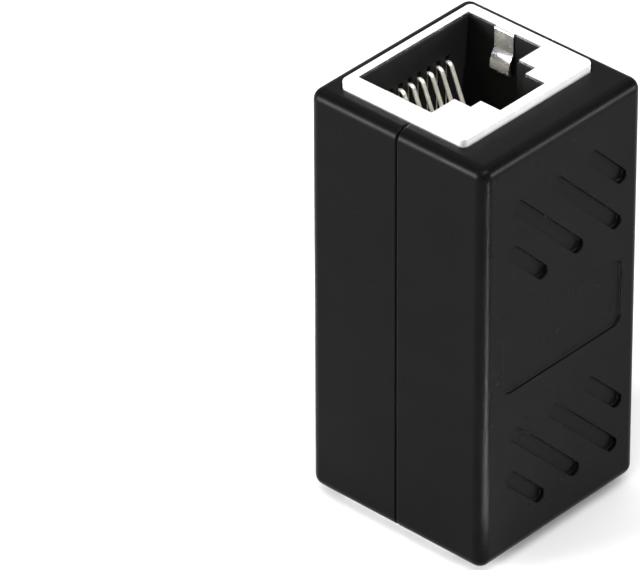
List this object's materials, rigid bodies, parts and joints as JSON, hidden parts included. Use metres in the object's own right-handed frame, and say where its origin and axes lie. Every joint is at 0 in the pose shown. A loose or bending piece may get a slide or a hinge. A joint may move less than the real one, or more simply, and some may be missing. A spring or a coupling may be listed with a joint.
{
  "type": "rj45 inline coupler",
  "caption": "Inline coupler for network leads: a rounded black housing with slanted grooves and a keyed, shielded jack at each end, joined inside by a circuit board.",
  "frame": {"origin": "middle of the footprint, on the outer face of the lower jack's shield", "axes": "+Z along the coupler towards the mouth of the upper jack, +X towards the face with the slanted grooves"},
  "size_m": [0.0168, 0.0172, 0.0361],
  "materials": {
    "housing": "satin moulded",
    "jack_body": "matte moulded",
    "shield": "bright nickel plate",
    "contact": "gold plate",
    "board": "solder mask",
    "solder": "bright solder"
  },
  "bodies": {
    "root": {"housing_front": "housing", "housing_back": "housing", "circuit_board": "board", "jack_shield_top": "shield", "jack_shield_bottom": "shield", "jack_body_top": "jack_body", "jack_body_bottom": "jack_body", "contact_carrier_top": "jack_body", "contact_carrier_bottom": "jack_body", "contact_top_1": "contact", "contact_top_2": "contact", "contact_top_3": "contact", "contact_top_4": "contact", "contact_top_5": "contact", "contact_top_6": "contact", "contact_top_7": "contact", "contact_top_8": "contact", "contact_bottom_1": "contact", "contact_bottom_2": "contact", "contact_bottom_3": "contact", "contact_bottom_4": "contact", "contact_bottom_5": "contact", "contact_bottom_6": "contact", "contact_bottom_7": "contact", "contact_bottom_8": "contact", "solder_joints": "solder"}
  },
  "joints": []
}
